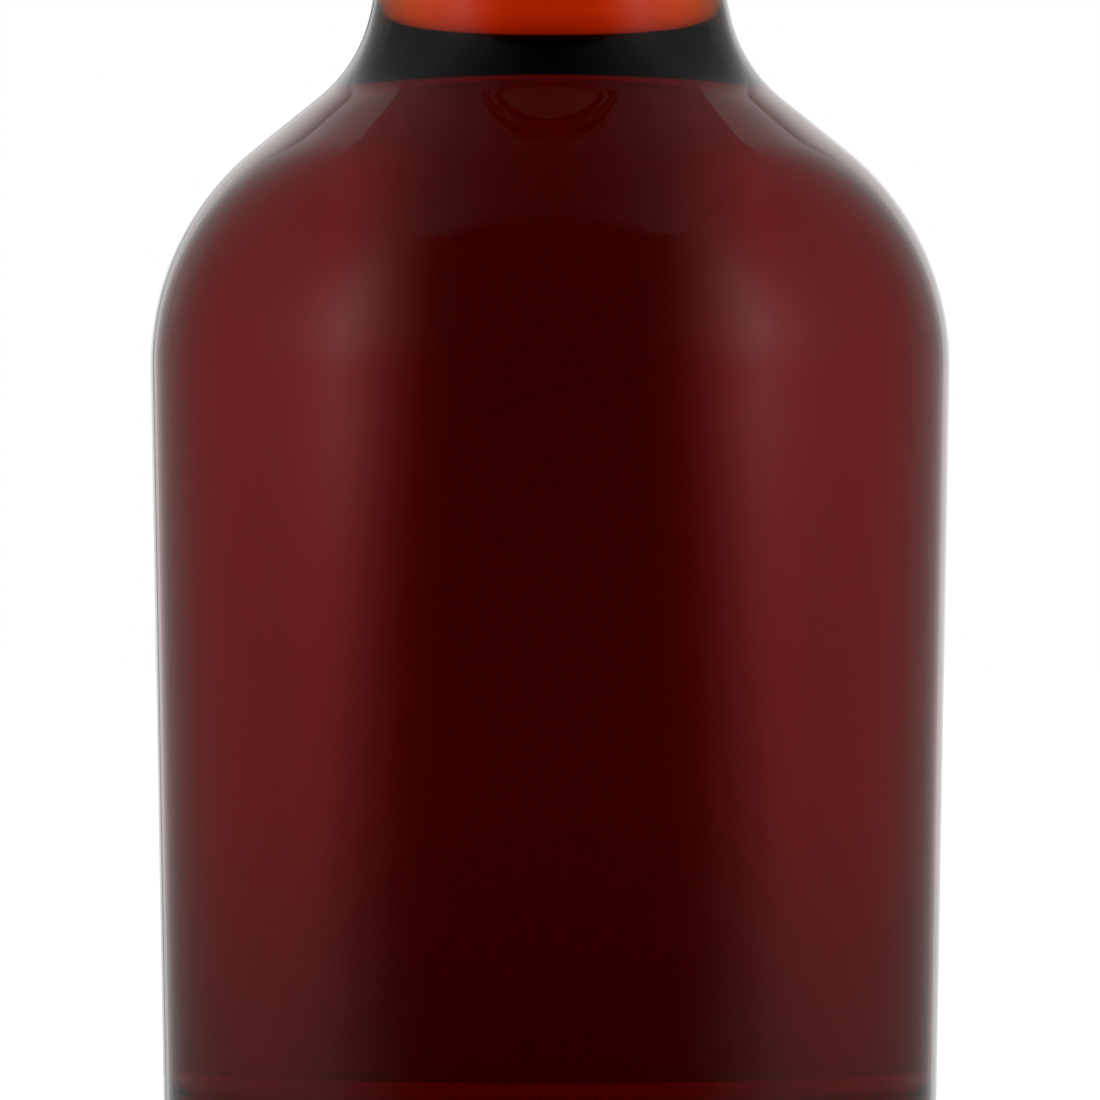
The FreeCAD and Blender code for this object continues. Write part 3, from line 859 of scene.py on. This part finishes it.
    def dark_card(self, tree, share, up):
        """A dark stripe, wider downwards, with white beside it that turns greyer outwards
        and downwards."""
        dark, white = self.STRIPE_EDGE
        tall = add_node(tree, "ShaderNodeMapRange", {"Value": up},
                        {"From Max": self.STRIPE_TOP, "To Min": self.STRIPE_NARROWING})
        edge = add_node(tree, "ShaderNodeMath", {0: share, 1: tall.outputs[0]},
                        operation="MULTIPLY")
        rise = add_node(tree, "ShaderNodeMapRange", {"Value": edge.outputs[0]},
                        {"From Min": dark, "From Max": white},
                        interpolation_type="SMOOTHSTEP")
        wing = add_node(
            tree, "ShaderNodeValToRGB", {0: share}, blend="B_SPLINE",
            stops=greys((0.0, 1.0), (0.15, 1.0), (0.21, 0.8), (0.38, 0.72), (0.56, 0.52),
                        (1.0, 0.46)))
        fade = add_node(tree, "ShaderNodeMapRange", {"Value": up},
                        {"From Max": self.STRIPE_TOP, "To Min": self.WHITE_AT_TABLE})
        beside = add_node(tree, "ShaderNodeMath", {0: wing.outputs[0], 1: fade.outputs[0]},
                          operation="MULTIPLY")
        both = add_node(tree, "ShaderNodeMix", {0: rise.outputs[0], 3: beside.outputs[0]},
                        {2: self.STRIPE_LIGHT})
        low, top = self.FOOT_FADE
        foot = add_node(tree, "ShaderNodeMapRange", {"Value": up},
                        {"From Min": low, "From Max": top, "To Min": self.FOOT_LIGHT})
        shade = add_node(tree, "ShaderNodeMath", {0: both.outputs[0], 1: foot.outputs[0]},
                         operation="MULTIPLY")
        return shade.outputs[0]

    def white_card(self, tree, share, up):
        """Lights the neck, less at its foot and beside it."""
        low, top = self.NECK_FADE
        height = add_node(tree, "ShaderNodeMapRange", {"Value": up},
                          {"From Min": low, "From Max": top, "To Min": self.NECK_LIGHT})
        middle = add_node(
            tree, "ShaderNodeValToRGB", {0: share}, blend="B_SPLINE",
            stops=greys((0.0, 0.9), (0.026, 0.9), (0.036, 1.2), (0.09, 1.1), (0.16, 0.93),
                        (0.24, 0.78), (0.42, 0.46)))
        level = add_node(tree, "ShaderNodeMath",
                         {0: height.outputs[0], 1: middle.outputs[0]}, operation="MULTIPLY")
        return level.outputs[0]

    def light_room(self, scene):
        """White behind the bottle and even light on what is matt. What a shiny surface
        mirrors is black in front, and has the white backdrop, the ceiling and, after it
        has passed through the glass again, the sides. Directions run from -1 to 1: X to
        the right, Y away from the lens and Z up."""
        world = bpy.data.worlds.new("studio")
        scene.world = world
        tree = blank(world)
        rays = add_node(tree, "ShaderNodeLightPath")
        refracted = rays.outputs["Is Transmission Ray"]
        spot = add_node(tree, "ShaderNodeTexCoord")
        parts = add_node(tree, "ShaderNodeSeparateXYZ", {0: spot.outputs["Generated"]})
        right, away, up = parts.outputs["X"], parts.outputs["Y"], parts.outputs["Z"]

        # straight from the lens, through the glass, or onto what is matt
        along = add_node(tree, "ShaderNodeMath", {0: away}, operation="ABSOLUTE")
        low, top = self.WINGS
        wings = add_node(tree, "ShaderNodeMapRange", {"Value": along.outputs[0]},
                         {"From Min": low, "From Max": top, "To Min": self.WING_LIGHT})
        through = add_node(tree, "ShaderNodeMix", {0: refracted, 3: wings.outputs[0]},
                           {2: 1.0})
        straight = add_node(tree, "ShaderNodeMath",
                            {0: rays.outputs["Is Camera Ray"], 1: refracted},
                            operation="MAXIMUM")
        plain = add_node(tree, "ShaderNodeMix",
                         {0: straight.outputs[0], 3: through.outputs[0]},
                         {2: self.MATT_LIGHT})

        # mirrored: the ceiling, brighter to the sides and to the rear, and none in front
        low, top = self.CEILING
        above = add_node(tree, "ShaderNodeMapRange", {"Value": up},
                         {"From Min": low, "From Max": top},
                         interpolation_type="SMOOTHSTEP")
        aside = add_node(tree, "ShaderNodeMath", {0: right}, {1: self.CEILING_SIDE},
                         operation="MULTIPLY")
        wide = add_node(tree, "ShaderNodeMath", {0: aside.outputs[0], 1: aside.outputs[0]},
                        {2: self.CEILING_MIDDLE}, operation="MULTIPLY_ADD")
        rear = add_node(tree, "ShaderNodeMapRange", {"Value": away},
                        {"To Max": self.CEILING_REAR})
        deep = add_node(tree, "ShaderNodeMath",
                        {0: rear.outputs[0], 1: rear.outputs[0], 2: wide.outputs[0]},
                        operation="MULTIPLY_ADD")
        low, top = self.CEILING_FRONT
        front = add_node(tree, "ShaderNodeMapRange", {"Value": away},
                         {"From Min": low, "From Max": top},
                         interpolation_type="SMOOTHSTEP")
        ceiling = add_node(tree, "ShaderNodeMath",
                           {0: deep.outputs[0], 1: front.outputs[0]}, operation="MULTIPLY")
        high = add_node(tree, "ShaderNodeMath",
                        {0: above.outputs[0], 1: ceiling.outputs[0]}, operation="MULTIPLY")

        # mirrored: the sides, and the backdrop
        sideways = add_node(tree, "ShaderNodeMath", {0: aside.outputs[0]},
                            operation="ABSOLUTE")
        leaving = add_node(tree, "ShaderNodeMath", {0: refracted},
                           {1: self.REFRACTED_SIDE}, operation="MULTIPLY")
        beside = add_node(
            tree, "ShaderNodeMath",
            {0: sideways.outputs[0], 1: leaving.outputs[0], 2: high.outputs[0]},
            operation="MULTIPLY_ADD")
        low, top = self.BACKDROP
        behind = add_node(tree, "ShaderNodeMapRange", {"Value": away},
                          {"From Min": low, "From Max": top},
                          interpolation_type="SMOOTHSTEP")
        mirrored = add_node(tree, "ShaderNodeMath",
                            {0: behind.outputs[0], 1: beside.outputs[0]},
                            operation="ADD", use_clamp=True)

        bounced = add_node(tree, "ShaderNodeMath", {0: rays.outputs["Glossy Depth"]},
                           {1: 1.0}, operation="MINIMUM")
        level = add_node(
            tree, "ShaderNodeMix",
            {0: bounced.outputs[0], 2: plain.outputs[0], 3: mirrored.outputs[0]})
        air = add_node(tree, "ShaderNodeBackground", {"Strength": level.outputs[0]},
                       {"Color": (1, 1, 1, 1)})
        add_node(tree, "ShaderNodeOutputWorld", {"Surface": air.outputs[0]})

    def hang_lamp(self, scene, stage):
        lamp = bpy.data.lights.new("overhead", "AREA")
        lamp.shape, lamp.size, lamp.energy = "DISK", stage.lamp_size, stage.lamp_power
        hung = bpy.data.objects.new("overhead", lamp)
        hung.location = self.LAMP_PLACE
        aim = Vector(self.LAMP_AIM) - hung.location
        hung.rotation_euler = aim.to_track_quat("-Z", "Y").to_euler()
        hung.visible_glossy = hung.visible_transmission = False
        scene.collection.objects.link(hung)

    def set_camera(self, scene, stage):
        lens = bpy.data.cameras.new("camera")
        lens.sensor_width = self.SENSOR_WIDTH
        lens.lens = self.SENSOR_WIDTH * stage.view_distance / stage.view_width
        lens.clip_start, lens.clip_end = self.CLIP
        camera = bpy.data.objects.new("camera", lens)
        camera.location = (0.0, -stage.view_distance, stage.view_height)
        camera.rotation_euler = (UPWARDS, 0.0, 0.0)
        scene.collection.objects.link(camera)
        scene.camera = camera
        scene.view_settings.view_transform = "Standard"


STEPS = (BOTTLE_OT_glass, BOTTLE_OT_rum, BOTTLE_OT_stopper, BOTTLE_OT_stage)


class BOTTLE_PT_panel(bpy.types.Panel):
    bl_idname = "BOTTLE_PT_panel"
    bl_label = "Rum bottle"
    bl_space_type = "VIEW_3D"
    bl_region_type = "UI"
    bl_category = "Rum bottle"

    def draw(self, context):
        for step in STEPS:
            self.layout.operator(step.bl_idname)
        for group in settings():
            box = self.layout.box()
            for name in group.__annotations__:
                box.prop(group, name)


GROUPS = {
    "bottle_glass": BottleGlassSizes,
    "bottle_fill": BottleFillSizes,
    "bottle_colours": BottleColours,
    "bottle_stage": BottleStage,
}


def register():
    for kind in (*GROUPS.values(), *STEPS, BOTTLE_PT_panel):
        bpy.utils.register_class(kind)
    for name, group in GROUPS.items():
        setattr(bpy.types.Scene, name, PointerProperty(type=group))


def unregister():
    for name in GROUPS:
        delattr(bpy.types.Scene, name)
    for kind in reversed((*GROUPS.values(), *STEPS, BOTTLE_PT_panel)):
        bpy.utils.unregister_class(kind)


def main():
    register()
    bpy.ops.rum_bottle.glass()
    bpy.ops.rum_bottle.rum()
    bpy.ops.rum_bottle.stopper()
    bpy.ops.rum_bottle.stage()


if __name__ == "__main__":
    main()
